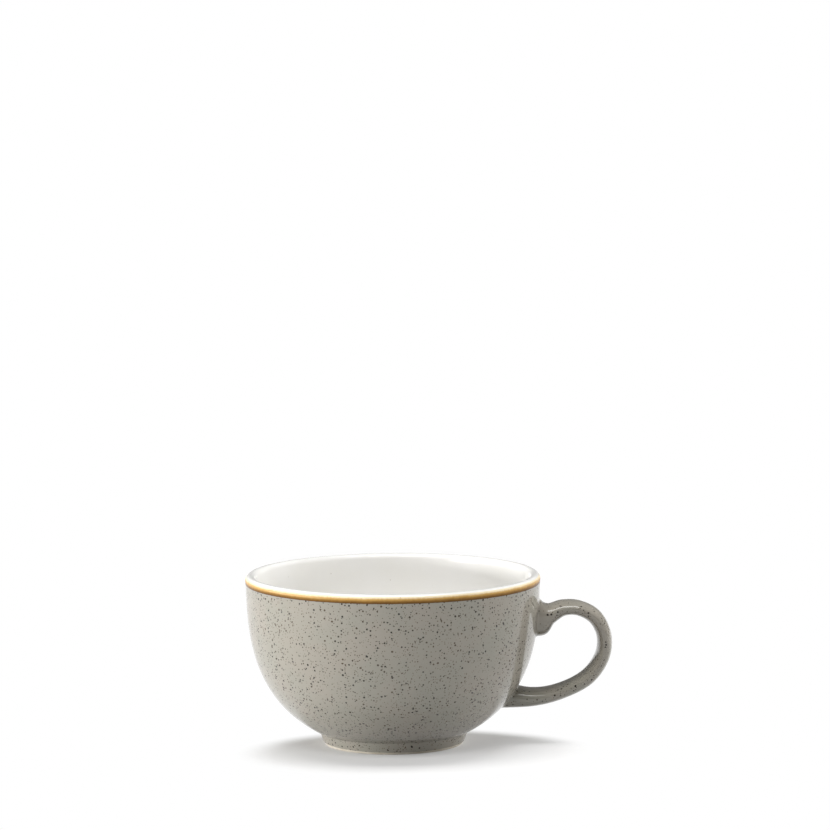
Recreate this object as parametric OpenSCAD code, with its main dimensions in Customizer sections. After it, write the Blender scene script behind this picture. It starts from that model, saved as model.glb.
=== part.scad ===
// Cappuccino cup in stoneware: a round bowl on a turned foot ring, with a looped strap handle.
// The clay parts are covered by separate glaze coats, and a film of slip joins each handle root.
// The origin is at the middle of the resting ring, +Z is up and the handle points along +X.

/* [Bowl] */
// Outer diameter at the rim
rim_d = 112; // [100:1:125]
// Height from the resting ring to the crest of the lip
cup_h = 65; // [58:1:75]
// Thickness of the full round lip
lip_t = 4; // [3:0.1:5]
// Thickness of the wall just above the foot
heel_t = 5.6; // [4:0.1:8]
// Radius between the wall and the flat floor, inside
floor_round = 8; // [3:0.5:14]
// Slope of the underbody where it leaves the foot, in degrees
underbody_angle = 27; // [20:1:35]
// Outward lean of the wall at the rim, in degrees
rim_lean = 5; // [0:1:10]

/* [Foot] */
// Diameter of the foot where it meets the table
foot_d = 52.2; // [46:0.2:58]
// Height of the foot ring
foot_h = 4.4; // [3.6:0.1:6]
// Width of the foot ring at the table
foot_w = 3.8; // [3:0.1:6]
// Taper of the foot's outer face, in degrees
foot_taper = 20; // [5:1:28]
// Draft of the face inside the foot ring, in degrees
recess_draft = 12; // [2:1:20]
// Radius of both edges of the resting ring
foot_edge_r = 0.5; // [0.3:0.1:1]
// Radius in the corner between the foot and the bowl, outside
foot_corner_r = 0.8; // [0.4:0.1:2]
// Radius in the corner of the recess under the cup
recess_r = 1.6; // [0.8:0.1:2]

/* [Glaze] */
// Thickness of every glaze coat
glaze_t = 0.4; // [0.3:0.05:0.6]
// Depth of the brown band's lower edge below the crest of the lip
band_h = 3.2; // [2.5:0.1:6]
// Depth of its upper edge, where the white glaze comes over the crest
crest_h = 0.6; // [0.2:0.1:1.2]
// Width of the bare clay above the rounded edges of the foot
dry_h = 0.2; // [0.1:0.1:1]
// Thickness of the slip between the handle and the wall
slip_t = 0.6; // [0.5:0.05:0.9]

/* [Handle] */
// Reach of the handle beyond the rim
handle_reach = 27.5; // [24:0.5:34]
// Height of the lower root's middle above the table
handle_low = 17; // [16:0.5:20]
// Depth of the arch's middle line below the crest of the lip
handle_drop = 13.5; // [11:0.5:17]
// Thickness of the strap
strap_t = 5.5; // [5:0.1:6.5]
// Width of the strap
strap_w = 16; // [12:0.5:18]
// Depth of the handle's ends behind the face of the wall
root_depth = 5.5; // [5:0.5:7]

/* [Hidden] */
$fn = 96;

// Pull of the wall's curve away from its ends, as shares of the rim's radius and of the cup's height
belly_share = 0.59;
shoulder_share = 0.185;
// Steps along the wall, along the brown band and round each small arc
wall_steps = 28;
band_steps = 3;
arc_steps = 6;

// Exponent of the strap's oval section: 2 is an ellipse, more is squarer
strap_squareness = 2.4;
// Sides of the strap, and rings between two stations of its middle line
strap_sides = 24;
span_ring_count = 5;
// Spans at each end of the strap that the wall and its coat meet
root_span_count = 2;
// Upper root: share of the rise for its height, then shares of the strap's thickness and width
upper_root_shares = [0.87, 2.36, 1.16];
// Lower root, likewise
lower_root_shares = [0.03, 1.8, 1.16];
// Stations of the handle's middle line from the upper root round to the lower one: shares of the
// reach beyond the rim and of the rise, then shares of the strap's thickness and width
station_shares = [
    [0.01, 0.90, 2.6, 1.06],
    [0.14, 0.93, 1.38, 1.02],
    [0.32, 0.99, 1.02, 1],
    [0.54, 0.982, 0.97, 1],
    [0.76, 0.88, 1.04, 1],
    [0.88, 0.68, 1.03, 1],
    [0.85, 0.44, 1, 1],
    [0.64, 0.21, 1.01, 1],
    [0.27, 0.06, 1, 1],
    [-0.12, 0, 1.2, 1.05],
];

stoneware = [0.86, 0.82, 0.76];
speckled_grey = [0.55, 0.53, 0.49];
liner_white = [0.95, 0.94, 0.92];
rim_brown = [0.52, 0.37, 0.2];

rim_r = rim_d / 2;
foot_r = foot_d / 2;
lip_r = lip_t / 2;
handle_rise = cup_h - handle_low - handle_drop;

// Points of an arc round a centre, from one angle to another
function arc(centre, r, from, to, steps = arc_steps) =
    [for (i = [0:steps]) let (a = from + (to - from) * i / steps) centre + r * [cos(a), sin(a)]];

// Outward normal of a face of the outline that looks down by an angle
function facing(down) = [cos(down), -sin(down)];

// A list of points, back to front
function back(points) = [for (i = [len(points) - 1:-1:0]) points[i]];

// The outline of the cup at a depth below the glazed surface: 0 is the glaze, glaze_t is the clay.
// Foot: its clay leaves the table at foot_r and leans out by the taper.
foot_top = [foot_r + foot_h * tan(foot_taper), foot_h];
function foot_face(z, depth) =
    [foot_r + z * tan(foot_taper) + (glaze_t - depth) / cos(foot_taper), z];

// Corner: an arc in the air that touches the foot's face and the underbody
corner_centre = foot_top + (foot_corner_r + glaze_t) * facing(foot_taper);
function corner(depth) =
    arc(corner_centre, foot_corner_r + depth, 180 - foot_taper, 90 + underbody_angle);

// Wall: a cubic curve from the corner up to the lip, where t runs from 0 to 1
lip_centre = [rim_r - lip_r, cup_h - lip_r];
wall_start = corner_centre - foot_corner_r * facing(90 - underbody_angle);
wall_end = lip_centre + lip_r * facing(rim_lean);
wall_curve = [
    wall_start,
    wall_start + belly_share * rim_r * [cos(underbody_angle), sin(underbody_angle)],
    wall_end - shoulder_share * cup_h * [sin(rim_lean), cos(rim_lean)],
    wall_end,
];
function along(p, t) =
    p[0] * pow(1 - t, 3) + 3 * p[1] * pow(1 - t, 2) * t + 3 * p[2] * (1 - t) * t * t + p[3] * pow(t, 3);
function heading(p, t) =
    3 * ((p[1] - p[0]) * pow(1 - t, 2) + 2 * (p[2] - p[1]) * (1 - t) * t + (p[3] - p[2]) * t * t);
function wall(t, depth) =
    let (h = heading(wall_curve, t)) along(wall_curve, t) - depth * [h[1], -h[0]] / norm(h);

// Where the brown band starts, and the steps along the wall that every coat and the clay share
wall_heights = [for (i = [0:wall_steps]) [along(wall_curve, i / wall_steps)[1], i / wall_steps]];
band_t = lookup(cup_h - band_h, wall_heights);
glaze_ts = [for (i = [0:wall_steps]) band_t * i / wall_steps];
band_ts = [for (i = [0:band_steps]) band_t + (1 - band_t) * i / band_steps];
function wall_line(ts, depth) = [for (t = ts) wall(t, depth)];
crest_angle = asin(1 - crest_h / lip_r);
function lip_outside(depth) = arc(lip_centre, lip_r - depth, -rim_lean, crest_angle);
function lip_inside(depth) = arc(lip_centre, lip_r - depth, crest_angle, 180 - rim_lean);

// Inside: the wall's thickness grows from the lip to the heel, then an arc runs into the floor
function thickness(t) = heel_t + (lip_t - heel_t) * t * t * (3 - 2 * t);
function inner_line(depth) =
    [for (i = [wall_steps:-1:0]) let (t = i / wall_steps) wall(t, thickness(t) - depth)];
floor_centre = wall(0, heel_t) - floor_round * facing(90 - underbody_angle);
floor_z = floor_centre[1] - floor_round;
function floor_line(depth) =
    concat(
        arc(floor_centre, floor_round + depth, underbody_angle - 90, -90),
        [[0, floor_z - depth]]
    );

// Recess: the face inside the foot ring and an arc into the flat underside
recess_foot_r = foot_r - foot_w;
recess_z = foot_h - glaze_t - recess_r;
recess_centre = [
    recess_foot_r - (glaze_t + recess_r + recess_z * sin(recess_draft)) / cos(recess_draft),
    recess_z,
];
function recess_face(z, depth) =
    [recess_foot_r - z * tan(recess_draft) - (glaze_t - depth) / cos(recess_draft), z];
function recess_arc(depth) = arc(recess_centre, recess_r + depth, recess_draft, 90);

// Height of the dry edge on a face of the foot with a given slant
function dry_z(slant) = foot_edge_r * (1 + sin(slant)) + dry_h;

// Outside line from the dry edge of the foot up to the brown band
function outside_line(depth) =
    concat([foot_face(dry_z(foot_taper), depth)], corner(depth), wall_line(glaze_ts, depth));

// Everything inside the outside line, filled to the axis, to trim what seats on the wall
module filled_body(depth) {
    rotate_extrude()
        polygon(concat(
            [[0, foot_h]],
            corner(depth),
            wall_line(glaze_ts, depth),
            [[0, wall(band_t, depth)[1]]]
        ));
}

// Handle: stations as places in the XZ plane with the strap's thickness and width there.
// Both ends lie behind the wall's face at their own height.
wall_radii = [for (t = glaze_ts) let (p = wall(t, 0)) [p[1], p[0]]];
function root(shares) =
    let (z = handle_low + handle_rise * shares[0])
    [lookup(z, wall_radii) - root_depth, z, strap_t * shares[1], strap_w * shares[2]];
stations = concat(
    [root(upper_root_shares)],
    [for (s = station_shares) [
        rim_r + handle_reach * s[0], handle_low + handle_rise * s[1], strap_t * s[2], strap_w * s[3],
    ]],
    [root(lower_root_shares)]
);
spans = len(stations) - 1;

// Smooth curve through the stations, with the value and the slope at any place u along it
function station(i) =
    i < 0 ? 2 * stations[0] - stations[1]
    : i > spans ? 2 * stations[spans] - stations[spans - 1]
    : stations[i];
function spline(u, slope = false) =
    let (
        i = min(floor(u), spans - 1),
        f = u - i,
        a = station(i - 1),
        b = station(i),
        c = station(i + 1),
        d = station(i + 2),
        linear = c - a,
        square = 2 * a - 5 * b + 4 * c - d,
        cube = 3 * (b - c) + d - a
    )
    slope ? (linear + 2 * square * f + 3 * cube * f * f) / 2
    : b + (linear * f + square * f * f + cube * pow(f, 3)) / 2;

// One ring of the strap: an oval across the middle line, a depth below the glazed surface
function rounded(x) = sign(x) * pow(abs(x), 2 / strap_squareness);
function strap_ring(u, depth) =
    let (
        s = spline(u),
        h = spline(u, slope = true),
        ahead = [h[0], h[1]] / norm([h[0], h[1]]),
        out = [-ahead[1], ahead[0]],
        half_t = s[2] / 2 - depth,
        half_w = s[3] / 2 - depth
    )
    [for (k = [0:strap_sides - 1]) let (
        a = 360 * k / strap_sides,
        across = half_t * rounded(cos(a))
    ) [s[0] + out[0] * across, half_w * rounded(sin(a)), s[1] + out[1] * across]];

// Faces between two rings of points that start at given places in the list
function band_faces(first, second) =
    [for (k = [0:strap_sides - 1]) let (n = (k + 1) % strap_sides)
        [first + k, first + n, second + n, second + k]];

// The strap from one station to another, closed at both ends
module strap(from, to, depth) {
    rings = (to - from) * span_ring_count;
    points = [for (i = [0:rings]) each strap_ring(from + i / span_ring_count, depth)];
    sides = [for (i = [0:rings - 1]) each band_faces(i * strap_sides, (i + 1) * strap_sides)];
    start = [for (k = [strap_sides - 1:-1:0]) k];
    end = [for (k = [0:strap_sides - 1]) rings * strap_sides + k];
    polyhedron(points, concat(sides, [start, end]));
}

// The coat on the strap: two skins, one inside the other, joined by a rim at each end
module strap_coat() {
    rings = spans * span_ring_count;
    skin = (rings + 1) * strap_sides;
    points = [
        for (depth = [0, glaze_t]) for (i = [0:rings]) each strap_ring(i / span_ring_count, depth)
    ];
    outer = [for (i = [0:rings - 1]) each band_faces(i * strap_sides, (i + 1) * strap_sides)];
    inner = [
        for (i = [0:rings - 1]) each band_faces(skin + (i + 1) * strap_sides, skin + i * strap_sides)
    ];
    start = band_faces(skin, 0);
    end = band_faces(rings * strap_sides, skin + rings * strap_sides);
    polyhedron(points, concat(outer, inner, start, end));
}

// The parts of the strap that pass through the wall's coat
module upper_root(depth) {
    strap(0, root_span_count, depth);
}

module lower_root(depth) {
    strap(spans - root_span_count, spans, depth);
}

// Film of slip between the clay of the wall and the end of the handle
module slip_film() {
    difference() {
        filled_body(glaze_t - slip_t);
        filled_body(glaze_t);
    }
}

// Clay
module bowl() {
    color(stoneware)
        rotate_extrude()
            polygon(concat(
                [[0, foot_h]],
                corner(glaze_t),
                wall_line(glaze_ts, glaze_t),
                wall_line(band_ts, glaze_t),
                lip_outside(glaze_t),
                lip_inside(glaze_t),
                inner_line(glaze_t),
                floor_line(glaze_t)
            ));
}

module foot_ring() {
    edge_out = [foot_r - foot_edge_r * (1 - sin(foot_taper)) / cos(foot_taper), foot_edge_r];
    edge_in = [
        recess_foot_r + foot_edge_r * (1 - sin(recess_draft)) / cos(recess_draft), foot_edge_r,
    ];
    color(stoneware)
        rotate_extrude()
            polygon(concat(
                [foot_top],
                arc(edge_out, foot_edge_r, -foot_taper, -90),
                arc(edge_in, foot_edge_r, -90, recess_draft - 180),
                recess_arc(glaze_t)
            ));
}

module handle() {
    color(stoneware)
        difference() {
            strap(0, spans, glaze_t);
            filled_body(glaze_t - slip_t);
        }
}

// Joints of slip
module upper_slip_joint() {
    color(stoneware)
        intersection() {
            upper_root(0);
            slip_film();
        }
}

module lower_slip_joint() {
    color(stoneware)
        intersection() {
            lower_root(0);
            slip_film();
        }
}

// Glaze
module outside_glaze() {
    color(speckled_grey)
        difference() {
            rotate_extrude()
                polygon(concat(outside_line(0), back(outside_line(glaze_t))));
            upper_root(0);
            lower_root(0);
        }
}

module inside_glaze() {
    color(liner_white)
        rotate_extrude()
            polygon(concat(
                lip_inside(0),
                inner_line(0),
                floor_line(0),
                back(floor_line(glaze_t)),
                back(inner_line(glaze_t)),
                back(lip_inside(glaze_t))
            ));
}

module rim_band() {
    color(rim_brown)
        rotate_extrude()
            polygon(concat(
                wall_line(band_ts, 0),
                lip_outside(0),
                back(lip_outside(glaze_t)),
                back(wall_line(band_ts, glaze_t))
            ));
}

module handle_glaze() {
    color(speckled_grey)
        difference() {
            strap_coat();
            filled_body(glaze_t - slip_t);
        }
}

module underside_glaze() {
    color(speckled_grey)
        rotate_extrude()
            polygon(concat(
                [recess_face(dry_z(recess_draft), 0)],
                recess_arc(0),
                [[0, foot_h - glaze_t], [0, foot_h]],
                back(recess_arc(glaze_t)),
                [recess_face(dry_z(recess_draft), glaze_t)]
            ));
}

bowl();
foot_ring();
handle();
upper_slip_joint();
lower_slip_joint();
outside_glaze();
inside_glaze();
rim_band();
handle_glaze();
underside_glaze();
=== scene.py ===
import bpy
import numpy as np
from mathutils import Matrix, Vector


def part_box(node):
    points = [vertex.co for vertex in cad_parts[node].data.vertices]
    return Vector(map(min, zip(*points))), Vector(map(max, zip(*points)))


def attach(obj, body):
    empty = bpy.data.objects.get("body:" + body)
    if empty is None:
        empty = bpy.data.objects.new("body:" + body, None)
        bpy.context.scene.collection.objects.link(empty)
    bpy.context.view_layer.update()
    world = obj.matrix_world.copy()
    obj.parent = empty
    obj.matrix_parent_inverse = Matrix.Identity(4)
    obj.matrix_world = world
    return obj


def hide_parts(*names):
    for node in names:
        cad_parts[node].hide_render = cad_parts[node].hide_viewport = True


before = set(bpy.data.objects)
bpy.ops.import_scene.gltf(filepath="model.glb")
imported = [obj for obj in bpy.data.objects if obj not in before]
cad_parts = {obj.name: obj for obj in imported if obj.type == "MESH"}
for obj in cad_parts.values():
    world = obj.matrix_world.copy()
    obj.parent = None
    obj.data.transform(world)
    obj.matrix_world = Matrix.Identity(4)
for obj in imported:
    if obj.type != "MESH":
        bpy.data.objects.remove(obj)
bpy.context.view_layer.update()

# Camera and studio
# The cup is seen from a little above, with the handle pointing right. It stands on a white table in a
# dim room. The light comes from a wide low window on its left, two smaller ones on its right and behind
# it, one overhead and one high in front. Lengths are in metres, and mm makes them readable.
mm = 0.001
picture = 830
sensor_w = 36.0
view_distance = 1.7
view_azimuth = np.radians(-1.0)
view_elevation = np.radians(9.5)
view_roll = np.radians(0.46)
pixels_per_mm = 2.625
aim_height = 32 * mm
aim_pixel_x = 393.4
aim_pixel_y = 659.1
far_clip = 100
white = (1, 1, 1, 1)


def photo_camera():
    """Put the camera at a distance from the aim point, turned until that point falls on its pixel."""
    to_camera = Vector((
        np.sin(view_azimuth) * np.cos(view_elevation),
        -np.cos(view_azimuth) * np.cos(view_elevation),
        np.sin(view_elevation),
    ))
    level_right = Vector((0, 0, 1)).cross(to_camera).normalized()
    level_up = to_camera.cross(level_right)
    right = level_right * np.cos(view_roll) - level_up * np.sin(view_roll)
    up = to_camera.cross(right)
    aimed = Matrix((right, up, to_camera)).transposed()
    focal_pixels = pixels_per_mm * view_distance / mm
    off_axis = Vector((
        (aim_pixel_x - picture / 2) / focal_pixels,
        (picture / 2 - aim_pixel_y) / focal_pixels,
        -1,
    ))
    turn = off_axis.rotation_difference(Vector((0, 0, -1))).to_matrix()
    data = bpy.data.cameras.new("camera")
    data.sensor_width = sensor_w
    data.lens = focal_pixels * sensor_w / picture
    data.clip_end = far_clip
    camera = bpy.data.objects.new("camera", data)
    place = Matrix.Translation(Vector((0, 0, aim_height)) + to_camera * view_distance)
    camera.matrix_world = place @ (aimed @ turn).to_4x4()
    bpy.context.scene.collection.objects.link(camera)
    bpy.context.scene.camera = camera


def soft_window(name, turn, rise, distance, width, height, watts, mirrored=True):
    """A rectangular lamp that faces the cup. Its place is a turn to the right from the front, a rise
    above the table, both in degrees, and a distance. A lamp may be left out of mirrored rays."""
    turn, rise = np.radians(turn), np.radians(rise)
    towards_lamp = Vector((np.sin(turn) * np.cos(rise), -np.cos(turn) * np.cos(rise), np.sin(rise)))
    data = bpy.data.lights.new(name, "AREA")
    data.shape = "RECTANGLE"
    data.size = width
    data.size_y = height
    data.energy = watts
    lamp = bpy.data.objects.new(name, data)
    lamp.location = Vector((0, 0, aim_height)) + towards_lamp * distance
    lamp.rotation_euler = towards_lamp.to_track_quat("Z", "Y").to_euler()
    lamp.visible_camera = False
    lamp.visible_glossy = mirrored
    bpy.context.scene.collection.objects.link(lamp)


class Flow:
    """One value in a material. Arithmetic on it adds Math nodes, and make adds any other node."""

    def __init__(self, socket):
        self.socket = socket

    def make(self, kind, settings, inputs, output=0):
        """Add a node: its settings come first, then values or links on its sockets."""
        tree = self.socket.id_data
        node = tree.nodes.new(kind)
        for name, value in settings.items():
            setattr(node, name, value)
        for key, value in inputs.items():
            if isinstance(value, Flow):
                tree.links.new(value.socket, node.inputs[key])
            else:
                node.inputs[key].default_value = value
        return Flow(node.outputs[output]) if node.outputs else None

    def also(self, output):
        """Another output of the same node."""
        return Flow(self.socket.node.outputs[output])

    def maths(self, operation, first, second=0.0, clamp=False):
        settings = {"operation": operation, "use_clamp": clamp}
        return self.make("ShaderNodeMath", settings, {0: first, 1: second})

    def __add__(self, other):
        return self.maths("ADD", self, other)

    def __sub__(self, other):
        return self.maths("SUBTRACT", self, other)

    def __rsub__(self, other):
        return self.maths("SUBTRACT", other, self)

    def __mul__(self, other):
        return self.maths("MULTIPLY", self, other)

    __radd__ = __add__
    __rmul__ = __mul__

    def clamped(self):
        return self.maths("ADD", self, 0.0, clamp=True)

    def under(self, other):
        """1 where this value is below another, and 0 elsewhere."""
        return self.maths("LESS_THAN", self, other)

    def at_least(self, other):
        return self.maths("MAXIMUM", self, other)

    def smooth(self, start, end):
        """0 before the start, 1 after the end, smooth in between."""
        sockets = {0: self, 1: start, 2: end, 3: 0.0, 4: 1.0}
        return self.make("ShaderNodeMapRange", {"interpolation_type": "SMOOTHSTEP"}, sockets)

    def choose(self, low, high):
        """Mix two colours, with this value as the share of the second."""
        low, high = [c if isinstance(c, Flow) else (*c, 1) for c in (low, high)]
        return self.make("ShaderNodeMix", {"data_type": "RGBA"}, {0: self, 6: low, 7: high}, 2)

    def moved(self, by):
        """A place moved by a fixed vector or by another place."""
        return self.make("ShaderNodeVectorMath", {"operation": "ADD"}, {0: self, 1: by})

    def scaled(self, by):
        """A place or a colour with all its parts multiplied by one number."""
        return self.make("ShaderNodeVectorMath", {"operation": "SCALE"}, {0: self, "Scale": by})

    def stretched(self, by):
        """A place with its three coordinates multiplied by a fixed vector."""
        return self.make("ShaderNodeVectorMath", {"operation": "MULTIPLY"}, {0: self, 1: by})

    def length(self):
        """Distance of a place from the middle."""
        return self.make("ShaderNodeVectorMath", {"operation": "LENGTH"}, {0: self}, "Value")

    def part(self, axis):
        """One coordinate of a place, or one channel of a colour."""
        return self.make("ShaderNodeSeparateXYZ", {}, {0: self}, axis)

    def noise(self, size, detail=2.0, output=0):
        """Smooth noise over a place, with patches of a size in metres."""
        sockets = {"Vector": self, "Scale": 1 / size, "Detail": detail}
        return self.make("ShaderNodeTexNoise", {"noise_dimensions": "3D"}, sockets, output)


def seen_directly(tree):
    """1 for camera, mirrored and see-through rays, and 0 for light that spreads between surfaces."""
    rays = tree.nodes.new("ShaderNodeLightPath").outputs
    mirrored = Flow(rays["Is Glossy Ray"]) + Flow(rays["Is Transmission Ray"])
    return (mirrored + Flow(rays["Is Camera Ray"])).clamped()


def start_material(name):
    """A new empty material, and the Object coordinates of the piece that will wear it."""
    made = bpy.data.materials.new(name)
    made.use_nodes = True
    made.node_tree.nodes.clear()
    return made, Flow(made.node_tree.nodes.new("ShaderNodeTexCoord").outputs["Object"])


def soft_room(level):
    """An even white light from all round, at a low level."""
    world = bpy.data.worlds.new("soft room")
    world.use_nodes = True
    sky = world.node_tree.nodes["Background"]
    sky.inputs["Color"].default_value = white
    sky.inputs["Strength"].default_value = level
    bpy.context.scene.world = world


def white_table(size, matt_level, seen_level, shadow_lift, shadow_place, shadow_shape, fade):
    """A flat table that fills the view, with a half-size of size. It is pale when seen directly and
    greyer for the light that it throws back on the cup. Seen directly, the shadow is a little lighter
    than life, and it fades into plain white between two distances from its middle, which are measured
    after the shape has stretched them."""
    mesh = bpy.data.meshes.new("table")
    corners = [(x * size, y * size, 0) for x, y in ((-1, -1), (1, -1), (1, 1), (-1, 1))]
    mesh.from_pydata(corners, [], [(0, 1, 2, 3)])
    table = bpy.data.objects.new("table", mesh)
    bpy.context.scene.collection.objects.link(table)
    made, place = start_material("white table")
    seen = seen_directly(made.node_tree)
    far = place.moved(shadow_place).stretched(shadow_shape).length().smooth(*fade)
    colour = seen.choose((matt_level, matt_level, matt_level), (seen_level, seen_level, seen_level))
    matt = place.make("ShaderNodeBsdfDiffuse", {}, {"Color": colour})
    glow = place.make("ShaderNodeEmission", {}, {"Color": white, "Strength": 1.0})
    share = seen * (far * (1 - shadow_lift) + shadow_lift)
    both = place.make("ShaderNodeMixShader", {}, {0: share, 1: matt, 2: glow})
    place.make("ShaderNodeOutputMaterial", {}, {"Surface": both})
    mesh.materials.append(made)


bpy.context.scene.view_settings.view_transform = "Standard"
photo_camera()
soft_room(level=0.15)
white_table(
    size=40.0, matt_level=0.5, seen_level=0.9, shadow_lift=0.2,
    shadow_place=(-8 * mm, 22 * mm, 0), shadow_shape=(1, 1.35, 1), fade=(52 * mm, 69 * mm),
)
unmirrored = {"distance": 1.6, "width": 0.9, "mirrored": False}
soft_window("window left", turn=-83, rise=2, distance=1.6, width=1.7, height=0.2, watts=37)
soft_window("window right", turn=96, rise=5, height=0.4, watts=11, **unmirrored)
soft_window("window behind", turn=136, rise=6, height=0.7, watts=18, **unmirrored)
soft_window("window overhead", turn=0, rise=87, distance=1.2, width=0.9, height=0.4, watts=10)
soft_window("window in front", turn=-10, rise=48, height=0.5, watts=8, **unmirrored)

# Speckled glaze over the outside of the bowl
# A grey stoneware glaze, poured over the bowl and the outer face of the foot and wiped off the edge
# that stands on the table. Iron in it burns through as dark specks, large and small.
rim_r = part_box("rim_band")[1][0]
cup_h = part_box("inside_glaze")[1][2]
lip_r = 2.0 * mm
underbody_angle = 27.0
rim_lean = 5.0
belly_share = 0.59
shoulder_share = 0.185
foot_r = 26.1 * mm
foot_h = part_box("foot_ring")[1][2]
foot_taper = 20.0
foot_edge_r = 0.5 * mm
foot_corner_r = 0.8 * mm
glaze_t = 0.4 * mm
band_h = 3.2 * mm
dry_h = 0.2 * mm
turn_steps = 256
wall_steps = 130
arc_steps = 14


def arc(centre, radius, start, end, steps=arc_steps):
    """Points round a centre: centre + radius (cos a, sin a), with a going evenly from start to end."""
    a = np.radians(np.linspace(start, end, steps + 1))
    return np.asarray(centre) + radius * np.stack([np.cos(a), np.sin(a)], axis=1)


def facing(down):
    """Outward normal of a face of the outline that looks down by an angle."""
    return np.array([np.cos(np.radians(down)), -np.sin(np.radians(down))])


foot_top = np.array([foot_r + foot_h * np.tan(np.radians(foot_taper)), foot_h])
corner_centre = foot_top + (foot_corner_r + glaze_t) * facing(foot_taper)
lip_centre = np.array([rim_r - lip_r, cup_h - lip_r])
wall_start = corner_centre - foot_corner_r * facing(90 - underbody_angle)
wall_end = lip_centre + lip_r * facing(rim_lean)
quarter_turn = np.array([[0, 1], [-1, 0]])
wall_curve = np.array([
    wall_start,
    wall_start - belly_share * rim_r * quarter_turn @ facing(90 - underbody_angle),
    wall_end + shoulder_share * cup_h * quarter_turn @ facing(rim_lean),
    wall_end,
])


def wall(t, depth):
    """The wall's outside: a cubic curve from the foot (t = 0) to the lip (t = 1), moved inwards along
    its own normal by a depth, which may be one number or one for each t."""
    t = np.asarray(t, float)[:, None]
    p = wall_curve
    place = p[0] * (1 - t) ** 3 + 3 * p[1] * (1 - t) ** 2 * t + 3 * p[2] * (1 - t) * t ** 2 + p[3] * t ** 3
    ahead = (p[1] - p[0]) * (1 - t) ** 2 + 2 * (p[2] - p[1]) * (1 - t) * t + (p[3] - p[2]) * t ** 2
    outward = np.stack([ahead[:, 1], -ahead[:, 0]], axis=1)
    outward /= np.linalg.norm(outward, axis=1, keepdims=True)
    return place - np.reshape(depth, (-1, 1)) * outward


all_t = np.linspace(0, 1, wall_steps + 1)
band_t = np.interp(cup_h - band_h, wall(all_t, 0)[:, 1], all_t)


def dry_z(slant):
    """Height of the dry edge on a face of the foot that slants by an angle."""
    return foot_edge_r * (1 + np.sin(np.radians(slant))) + dry_h


def foot_face(z, depth):
    """The foot's outer face at some heights, a depth below its glaze."""
    lean = np.radians(foot_taper)
    return np.stack([foot_r + z * np.tan(lean) + (glaze_t - depth) / np.cos(lean), z], axis=1)


def outside_line(depth):
    """The outline from the foot's dry edge up to the brown band."""
    corner = arc(corner_centre, foot_corner_r + depth, 180 - foot_taper, 90 + underbody_angle)
    start = dry_z(foot_taper) + (glaze_t - depth) / 2
    face = foot_face(np.linspace(start, corner[0, 1], arc_steps)[:-1], depth)
    return np.vstack([face, corner[:-1], wall(np.linspace(0, band_t, wall_steps), depth)])


def link_mesh(name, vertices, faces, sharp=35.0):
    """A new smooth piece from arrays of vertices and faces, with edges sharp past an angle."""
    mesh = bpy.data.meshes.new(name)
    mesh.from_pydata(vertices.tolist(), [], faces)
    mesh.polygons.foreach_set("use_smooth", np.ones(len(mesh.polygons), bool))
    mesh.set_sharp_from_angle(angle=np.radians(sharp))
    piece = bpy.data.objects.new(name, mesh)
    bpy.context.scene.collection.objects.link(piece)
    return piece


def lathe(name, outline):
    """Turn an outline of (radius, height) about Z, with its outside on the right of its run. An
    outline that starts and ends on the axis gets a pole at each end; any other is closed on itself."""
    poles = outline[0, 0] == 0
    rows = outline[1:-1] if poles else outline
    a = 2 * np.pi * np.arange(turn_steps) / turn_steps
    rings = np.stack([
        rows[:, :1] * np.cos(a), rows[:, :1] * np.sin(a), np.repeat(rows[:, 1:], turn_steps, axis=1)
    ], axis=2)
    ids = np.arange(rings.shape[0] * turn_steps).reshape(-1, turn_steps)
    lower, upper = (ids[:-1], ids[1:]) if poles else (ids, np.roll(ids, -1, axis=0))
    faces = np.stack([lower, np.roll(lower, -1, 1), np.roll(upper, -1, 1), upper], axis=2)
    faces = faces.reshape(-1, 4).tolist()
    vertices = rings.reshape(-1, 3)
    if poles:
        first = len(vertices)
        vertices = np.vstack([vertices, [[0, 0, outline[0, 1]], [0, 0, outline[-1, 1]]]])
        start, end = ids[0], ids[-1]
        faces += np.stack([np.full(turn_steps, first), np.roll(start, -1), start], axis=1).tolist()
        faces += np.stack([np.full(turn_steps, first + 1), end, np.roll(end, -1)], axis=1).tolist()
    return link_mesh(name, vertices, faces)


def finish_material(place, sockets):
    """The surface shader and the output of a material."""
    surface = place.make("ShaderNodeBsdfPrincipled", {}, sockets)
    place.make("ShaderNodeOutputMaterial", {}, {"Surface": surface})


def bumped(place, height, strength, depth):
    """A normal that follows a height, for the small dips and ripples of a surface."""
    sockets = {"Strength": strength, "Distance": depth, "Height": height}
    return place.make("ShaderNodeBump", {}, sockets)


speck_edge = 0.06 * mm
wobble_size = 0.5 * mm
wobble_reach = 0.3 * mm


def specks(place, spacing, largest, share, shift):
    """Ragged round specks: each cell of a cell pattern holds one, when its random number is under the
    share, with a radius from two fifths to the whole of the largest. The shift moves the pattern."""
    wobble = place.noise(wobble_size, detail=1.0, output=1)
    wobble = wobble.moved((-0.5, -0.5, -0.5)).scaled(wobble_reach)
    sockets = {"Vector": place.moved(wobble).moved(shift), "Scale": 1 / spacing}
    distance = place.make("ShaderNodeTexVoronoi", {}, sockets, "Distance")
    chance = distance.also("Color")
    radius = (chance.part(0) * 0.6 + 0.4) * (largest / spacing)
    return (radius - distance).smooth(0.0, speck_edge / spacing) * chance.part(1).under(share)


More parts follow.
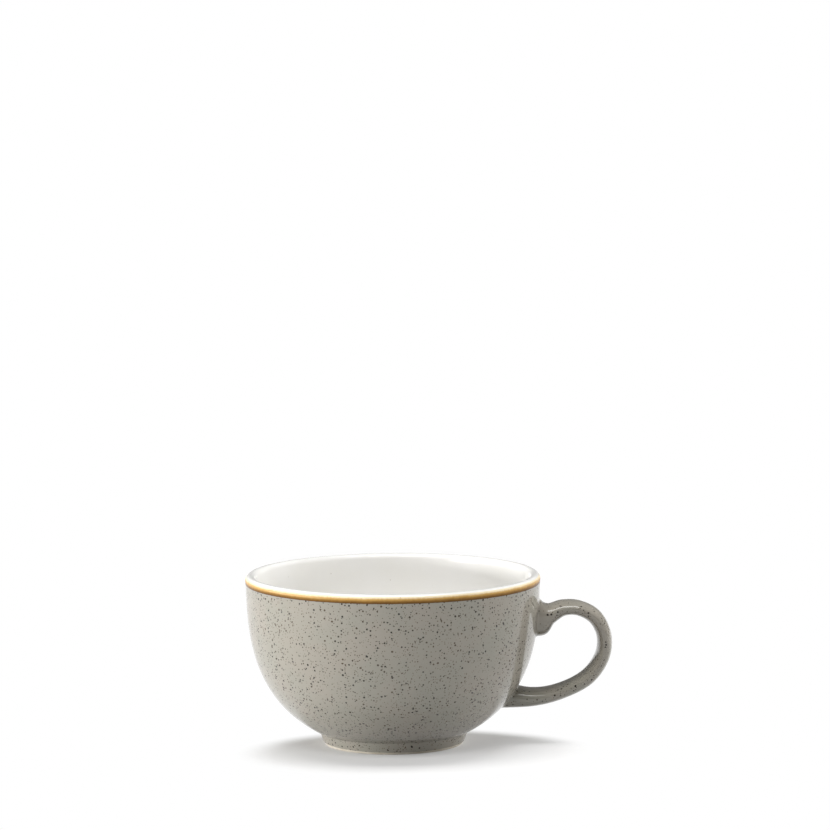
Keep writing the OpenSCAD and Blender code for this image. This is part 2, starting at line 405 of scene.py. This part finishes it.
grey_cool = (0.324, 0.312, 0.264)
grey_warm = (0.346, 0.317, 0.269)
grey_pale = (0.432, 0.404, 0.348)
iron_dark = (0.022, 0.018, 0.014)
iron_brown = (0.075, 0.050, 0.030)
cloud_size = 13 * mm
fine_size = 1.6 * mm
large_spacing = 1.3 * mm
large_r = 0.46 * mm
small_spacing = 0.85 * mm
small_r = 0.27 * mm
tone_size = 4 * mm
run_size = 1.2 * mm
run_reach = 0.5 * mm
run_start = 0.1 * mm
run_end = 0.35 * mm
dip_size = 2.5 * mm
dip_depth = 0.05 * mm


def speckled_glaze(name, large_share, small_share, band_edge=None, painted_shade=1.0, dullness=0.08):
    """Softly clouded grey with two sizes of iron specks, each in a share of its cells. The painted shade
    multiplies the grey, so that a copy of the glaze is drawn darker where shade falls on it, and the dullness
    is its least roughness. Where the glaze meets the brown band, at a height of band_edge, a little of the
    band's iron has run into it."""
    made, place = start_material(name)
    clouds = place.noise(cloud_size, detail=2.0).smooth(0.30, 0.70)
    fine = place.moved((3.1, 1.7, 0.4)).noise(fine_size, detail=3.0).smooth(0.2, 0.9)
    glaze = clouds.choose(grey_cool, grey_warm)
    # The painted shade darkens the whole grey of this copy.
    glaze = (fine * 0.12).choose(glaze, grey_pale).scaled(painted_shade)
    large = specks(place, large_spacing, large_r, large_share, (0.013, 0.007, 0.002))
    small = specks(place, small_spacing, small_r, small_share, (0.4, 0.11, 0.27))
    tone = place.noise(tone_size, detail=1.0).smooth(0.45, 0.65)
    glaze = (small * 0.9).choose(glaze, iron_brown)
    glaze = large.choose(glaze, tone.choose(iron_dark, iron_brown))
    if band_edge is not None:
        ragged = place.part(2) + place.noise(run_size, detail=2.0) * run_reach
        run = ragged.smooth(band_edge + run_start, band_edge + run_end)
        glaze = (run * 0.7).choose(glaze, iron_brown)
    dips = place.noise(dip_size, detail=2.0) - large.at_least(small) * 0.6
    finish_material(place, {
        "Base Color": glaze,
        "Roughness": large * 0.15 + (clouds * 0.04 + dullness),
        "IOR": 1.5,
        "Normal": bumped(place, dips, 0.3, dip_depth),
    })
    return made


# The hidden inner face of the coat has half as many rows.
outside = lathe("outside_glaze_coat", np.vstack([outside_line(0), outside_line(glaze_t)[::-2]]))
outside.data.materials.append(speckled_glaze("speckled grey glaze", 0.8, 0.95, cup_h - band_h))
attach(outside, "root")
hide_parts("outside_glaze")

# White glaze inside
# A white liner glaze, poured in and out again, covers the floor, the wall and the crest of the lip,
# down to the upper edge of the brown band.
lip_t = 2 * lip_r
heel_t = 5.6 * mm
floor_round = 8 * mm
crest_h = 0.6 * mm
crest_angle = np.degrees(np.arcsin(1 - crest_h / lip_r))


def inner_line(depth):
    """The inside of the wall, from the lip down: the thickness grows smoothly towards the heel."""
    t = all_t[::-1]
    thickness = heel_t + (lip_t - heel_t) * t * t * (3 - 2 * t)
    return wall(t, thickness - depth)


floor_centre = wall([0], heel_t)[0] - floor_round * facing(90 - underbody_angle)
floor_z = floor_centre[1] - floor_round


def inside_line(depth):
    """The outline from the upper edge of the brown band, over the lip, to the middle of the floor."""
    lip = arc(lip_centre, lip_r - depth, crest_angle, 180 - rim_lean, 2 * arc_steps)
    heel = arc(floor_centre, floor_round + depth, underbody_angle - 90, -90)
    across = np.linspace(heel[-1, 0], 0, arc_steps)[1:]
    floor = np.stack([across, np.full(arc_steps - 1, floor_z - depth)], axis=1)
    return np.vstack([lip[:-1], inner_line(depth), heel[1:], floor])


white_thick = (0.895, 0.883, 0.850)
white_thin = (0.910, 0.900, 0.875)
faint_iron = (0.30, 0.24, 0.17)
white_cloud_size = 18 * mm
faint_spacing = 2.6 * mm
faint_r = 0.25 * mm
ripple_size = 3 * mm
ripple_depth = 0.04 * mm


def white_glaze():
    """A clean white glaze, a little creamier where it lies thick, with a rare faint iron speck."""
    made, place = start_material("white liner glaze")
    thin = place.noise(white_cloud_size, detail=2.0).smooth(0.3, 0.7)
    glaze = thin.choose(white_thick, white_thin)
    rare = specks(place, faint_spacing, faint_r, 0.25, (0.21, 0.43, 0.05))
    glaze = (rare * 0.5).choose(glaze, faint_iron)
    finish_material(place, {
        "Base Color": glaze,
        "Roughness": thin * 0.04 + 0.12,
        "IOR": 1.5,
        "Normal": bumped(place, place.noise(ripple_size, detail=2.0), 0.25, ripple_depth),
    })
    return made


inside = lathe("inside_glaze_coat", np.vstack([inside_line(glaze_t)[::-1], inside_line(0)]))
inside.data.materials.append(white_glaze())
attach(inside, "root")
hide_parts("inside_glaze")

# Brown band round the lip
# Iron wash brushed round the outside of the lip. It is golden high up, and darkens down to a thin, almost
# black lower edge. Its pale gold top is a painted highlight, where the crest of the lip catches the light.


def band_line(depth):
    """The outline from the lower edge of the band up to its upper edge, near the crest of the lip."""
    lip = arc(lip_centre, lip_r - depth, -rim_lean, crest_angle)
    return np.vstack([wall(np.linspace(band_t, 1, arc_steps), depth)[:-1], lip])


edge_brown = (0.116, 0.053, 0.012)
deep_brown = (0.280, 0.142, 0.033)
golden_brown = (0.590, 0.350, 0.105)
painted_highlight_gold = (0.880, 0.770, 0.540)
mottle_size = 1.1 * mm
brush_size = 7 * mm
gloss_size = 2 * mm
band_speck_r = 0.22 * mm


def brown_glaze():
    """Brown that depends on the height within the band, broken up by brush marks and mottling, with a painted
    highlight in pale gold at its top.
    """
    made, place = start_material("brown rim glaze")
    mottle = place.noise(mottle_size, detail=3.0) * 0.5 + place.noise(brush_size) * 0.5 - 0.5
    height = (place.part(2) - (cup_h - band_h)) * (1 / (band_h - crest_h)) + mottle * 0.35
    glaze = height.smooth(0.0, 0.35).choose(edge_brown, deep_brown)
    glaze = height.smooth(0.25, 0.62).choose(glaze, golden_brown)
    # Painted highlight: the top of the band turns pale gold, as the crest of the lip catches the light.
    glaze = height.smooth(0.58, 0.92).choose(glaze, painted_highlight_gold)
    dark = specks(place, large_spacing, band_speck_r, 0.5, (0.05, 0.23, 0.6))
    glaze = (dark * 0.5).choose(glaze, iron_brown)
    finish_material(place, {
        "Base Color": glaze,
        "Roughness": place.noise(gloss_size) * 0.1 + 0.2,
        "IOR": 1.5,
        "Specular IOR Level": 0.12,
        "Normal": bumped(place, mottle, 0.25, ripple_depth),
    })
    return made


band = lathe("brown_rim_band", np.vstack([band_line(0), band_line(glaze_t)[::-1]]))
band.data.materials.append(brown_glaze())
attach(band, "root")
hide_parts("rim_band")

# Speckled glaze over the handle
# The strap was pulled by hand, so it is oval across, thick at its roots and thin round the loop. The
# glaze runs over both roots onto the wall and fills the corner there with a small round.
handle_reach = 27.5 * mm
handle_low = 17 * mm
handle_drop = 13.5 * mm
handle_rise = cup_h - handle_low - handle_drop
strap_t = 5.5 * mm
strap_w = 16 * mm
root_depth = 5.5 * mm
strap_squareness = 2.4
root_round = 1.0 * mm
root_sink = 0.04 * mm
root_tail = 1.0 * mm
root_spans = 2.5
strap_sides = 96
strap_rows = 220
round_rows = 10
# Each root has its height as a share of handle_rise, its thickness of strap_t and its width of strap_w.
upper_root_shares = (0.87, 2.36, 1.16)
lower_root_shares = (0.03, 1.8, 1.16)
# Each station has its reach past the rim as a share of handle_reach, then the same three shares.
station_shares = (
    (0.01, 0.90, 2.6, 1.06),
    (0.14, 0.93, 1.38, 1.02),
    (0.32, 0.99, 1.02, 1),
    (0.54, 0.982, 0.97, 1),
    (0.76, 0.88, 1.04, 1),
    (0.88, 0.68, 1.03, 1),
    (0.85, 0.44, 1, 1),
    (0.64, 0.21, 1.01, 1),
    (0.27, 0.06, 1, 1),
    (-0.12, 0, 1.2, 1.05),
)
wall_samples = 2000
search_samples = 800
search_halvings = 30
small_step = 0.001
outer_wall = wall(np.linspace(0, 1, wall_samples), 0)


def wall_radius(z):
    """Radius of the wall's glaze at some heights."""
    return np.interp(z, outer_wall[:, 1], outer_wall[:, 0])


def root_station(shares):
    """An end of the strap, behind the face of the wall at its own height."""
    z = handle_low + handle_rise * shares[0]
    return (wall_radius(z) - root_depth, z, strap_t * shares[1], strap_w * shares[2])


middle = [
    (rim_r + handle_reach * s[0], handle_low + handle_rise * s[1], strap_t * s[2], strap_w * s[3])
    for s in station_shares
]
stations = np.array([root_station(upper_root_shares), *middle, root_station(lower_root_shares)])
spans = len(stations) - 1


def strap_middle(u):
    """A smooth curve through the stations, at any places u along it, and its direction there: on each
    span b + (c - a) f / 2 + (2a - 5b + 4c - d) f^2 / 2 + (3 (b - c) + d - a) f^3 / 2."""
    ends = (2 * stations[:1] - stations[1:2], 2 * stations[-1:] - stations[-2:-1])
    s = np.vstack([ends[0], stations, ends[1]])
    i = np.clip(np.floor(u).astype(int), 0, spans - 1)
    f = (u - i)[..., None]
    a, b, c, d = s[i], s[i + 1], s[i + 2], s[i + 3]
    linear, square, cube = c - a, 2 * a - 5 * b + 4 * c - d, 3 * (b - c) + d - a
    return b + (linear * f + square * f ** 2 + cube * f ** 3) / 2, linear + 2 * square * f + 3 * cube * f ** 2


def strap_skin(u, a):
    """Points of the strap's glaze: an oval across the middle line, at places u and angles a."""
    s, h = strap_middle(u)
    ahead = h[..., :2] / np.linalg.norm(h[..., :2], axis=-1, keepdims=True)
    rounded = [np.sign(w) * np.abs(w) ** (2 / strap_squareness) for w in (np.cos(a), np.sin(a))]
    across = s[..., 2] / 2 * rounded[0]
    return np.stack([
        s[..., 0] - ahead[..., 1] * across, s[..., 3] / 2 * rounded[1], s[..., 1] + ahead[..., 0] * across
    ], axis=-1)


def above_wall(points):
    """How far points lie outside the wall's glaze, measured along the radius."""
    return np.hypot(points[..., 0], points[..., 1]) - wall_radius(points[..., 2])


def wall_normal(points):
    """Outward normal of the wall at points on it."""
    step = 0.1 * mm
    slope = (wall_radius(points[:, 2] + step) - wall_radius(points[:, 2] - step)) / (2 * step)
    around = np.hypot(points[:, 0], points[:, 1])
    normal = np.stack([points[:, 0] / around, points[:, 1] / around, -slope], axis=1)
    return normal / np.linalg.norm(normal, axis=1, keepdims=True)


def crossing(a, start, end):
    """Where each line along the strap leaves the wall, looking from one place along it to another."""
    u = np.linspace(start, end, search_samples)[:, None] + 0 * a
    out = above_wall(strap_skin(u, a + 0 * u)) > 0
    first = np.argmax(out, axis=0)
    low, high = u[first - 1, np.arange(len(a))], u[first, np.arange(len(a))]
    for _ in range(search_halvings):
        half = (low + high) / 2
        outside_wall = above_wall(strap_skin(half, a)) > 0
        low, high = np.where(outside_wall, low, half), np.where(outside_wall, half, high)
    return (low + high) / 2


def root_rows(a, u, towards):
    """The rounded corner at a root, from inside the wall up onto the strap. Each line is a curve
    (1-w)^2 A + 2 w (1-w) B + w^2 C from the wall (A) by the corner (B) to the strap (C)."""
    corner = strap_skin(u, a)
    pace = np.linalg.norm(strap_skin(u + small_step, a) - corner, axis=1) / small_step
    u_strap = u + towards * root_round / pace
    on_strap = strap_skin(u_strap, a)
    beside = np.roll(corner, -1, axis=0) - np.roll(corner, 1, axis=0)
    normal = wall_normal(corner)
    away = np.cross(beside, normal) * towards
    away /= np.linalg.norm(away, axis=1, keepdims=True)
    on_wall = corner + away * root_round
    around = np.hypot(on_wall[:, 0], on_wall[:, 1])
    on_wall[:, :2] *= ((wall_radius(on_wall[:, 2]) - root_sink) / around)[:, None]
    w = np.linspace(0, 1, round_rows)[:, None, None]
    rows = (1 - w) ** 2 * on_wall + 2 * w * (1 - w) * corner + w ** 2 * on_strap
    return np.concatenate([(on_wall - normal * root_tail)[None], rows]), u_strap


def strap_piece(name):
    """The strap as one closed skin: both rounded roots, the rows between them and a cap at each end."""
    a = -2 * np.pi * np.arange(strap_sides) / strap_sides
    upper, u_upper = root_rows(a, crossing(a, 0, root_spans), 1)
    lower, u_lower = root_rows(a, crossing(a, spans, spans - root_spans), -1)
    share = np.linspace(0, 1, strap_rows)[1:-1, None]
    u = u_upper + (u_lower - u_upper) * share
    rows = np.concatenate([upper, strap_skin(u, a + 0 * u), lower[::-1]])
    ids = np.arange(rows.shape[0] * strap_sides).reshape(-1, strap_sides)
    faces = np.stack([ids[:-1], np.roll(ids[:-1], -1, 1), np.roll(ids[1:], -1, 1), ids[1:]], axis=2)
    faces = faces.reshape(-1, 4).tolist()
    vertices = rows.reshape(-1, 3)
    poles = np.stack([rows[0].mean(axis=0), rows[-1].mean(axis=0)])
    first = len(vertices)
    faces += np.stack([np.full(strap_sides, first), np.roll(ids[0], -1), ids[0]], axis=1).tolist()
    faces += np.stack([np.full(strap_sides, first + 1), ids[-1], np.roll(ids[-1], -1)], axis=1).tolist()
    return link_mesh(name, np.vstack([vertices, poles]), faces)


handle = strap_piece("handle_glaze_coat")
# Painted shade: the handle wears a copy of the grey glaze darkened a little, for the shade that the bowl
# casts over it. Its specks are sparser and it is a little rougher.
handle_glaze_with_painted_shade = speckled_glaze(
    "speckled grey glaze on the handle", 0.45, 0.3, painted_shade=0.94, dullness=0.12,
)
handle.data.materials.append(handle_glaze_with_painted_shade)
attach(handle, "root")
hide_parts("handle_glaze")

# Glaze in the recess under the cup
# The same grey glaze covers the underside inside the foot ring, and stops short of the table as it
# does outside.
foot_w = 3.8 * mm
recess_draft = 12.0
recess_r = 1.6 * mm
recess_foot_r = foot_r - foot_w
recess_tan, recess_cos = np.tan(np.radians(recess_draft)), np.cos(np.radians(recess_draft))
recess_z = foot_h - glaze_t - recess_r
recess_centre = (recess_foot_r - recess_z * recess_tan - (glaze_t + recess_r) / recess_cos, recess_z)


def recess_line(depth):
    """The outline from the middle of the underside to the dry edge inside the foot ring."""
    round_part = arc(recess_centre, recess_r + depth, 90, recess_draft)
    across = np.linspace(0, recess_centre[0], arc_steps + 1)[:-1]
    flat = np.stack([across, np.full(arc_steps, foot_h - glaze_t + depth)], axis=1)
    z = np.linspace(round_part[-1, 1], dry_z(recess_draft) + (glaze_t - depth) / 2, arc_steps)[1:]
    face = np.stack([recess_foot_r - z * recess_tan - (glaze_t - depth) / recess_cos, z], axis=1)
    return np.vstack([flat, round_part, face])


underside = lathe("underside_glaze_coat", np.vstack([recess_line(0), recess_line(glaze_t)[::-1]]))
underside.data.materials.append(speckled_glaze("speckled grey glaze underneath", 0.7, 0.5))
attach(underside, "root")
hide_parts("underside_glaze")

# Foot ring
# Turned from the same clay as the bowl. Its resting edge is wiped clean, so the fired clay shows there
# as a thin off-white ring, fine grained and matt.


def foot_outline():
    """The outline of the ring: outer face, rounded resting edge, inner face and recess corner."""
    taper, draft = np.radians(foot_taper), np.radians(recess_draft)
    edge_out = (foot_r - foot_edge_r * (1 - np.sin(taper)) / np.cos(taper), foot_edge_r)
    edge_in = (recess_foot_r + foot_edge_r * (1 - np.sin(draft)) / np.cos(draft), foot_edge_r)
    return np.vstack([
        arc(recess_centre, recess_r + glaze_t, 90, recess_draft),
        arc(edge_in, foot_edge_r, recess_draft - 180, -90),
        arc(edge_out, foot_edge_r, -90, -foot_taper),
        foot_top,
    ])


clay_buff = (0.60, 0.54, 0.44)
clay_pale = (0.68, 0.63, 0.54)
clay_grain = (0.40, 0.33, 0.25)
clay_tone_size = 6 * mm
grain_size = 0.35 * mm
grain_depth = 0.06 * mm


def bare_clay(name):
    """Fired stoneware: off-white with fine dark and light grains, matt and slightly rough."""
    made, place = start_material(name)
    tone = place.noise(clay_tone_size, detail=3.0).smooth(0.3, 0.7)
    clay = tone.choose(clay_buff, clay_pale)
    grain = place.noise(grain_size, detail=2.0)
    clay = (grain.smooth(0.58, 0.72) * 0.4).choose(clay, clay_grain)
    finish_material(place, {
        "Base Color": clay,
        "Roughness": grain * 0.2 + 0.7,
        "Normal": bumped(place, grain, 0.6, grain_depth),
    })
    return made


foot = lathe("clay_foot_ring", foot_outline())
foot.data.materials.append(bare_clay("bare clay of the foot"))
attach(foot, "root")
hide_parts("foot_ring")

# Clay under the glaze
# The bowl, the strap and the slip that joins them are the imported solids. The coats cover them all
# over, and they wear the same fired clay.
for node in ("bowl", "handle", "upper_slip_joint", "lower_slip_joint"):
    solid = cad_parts[node]
    solid.data.materials.clear()
    solid.data.materials.append(bare_clay("clay of the " + node))
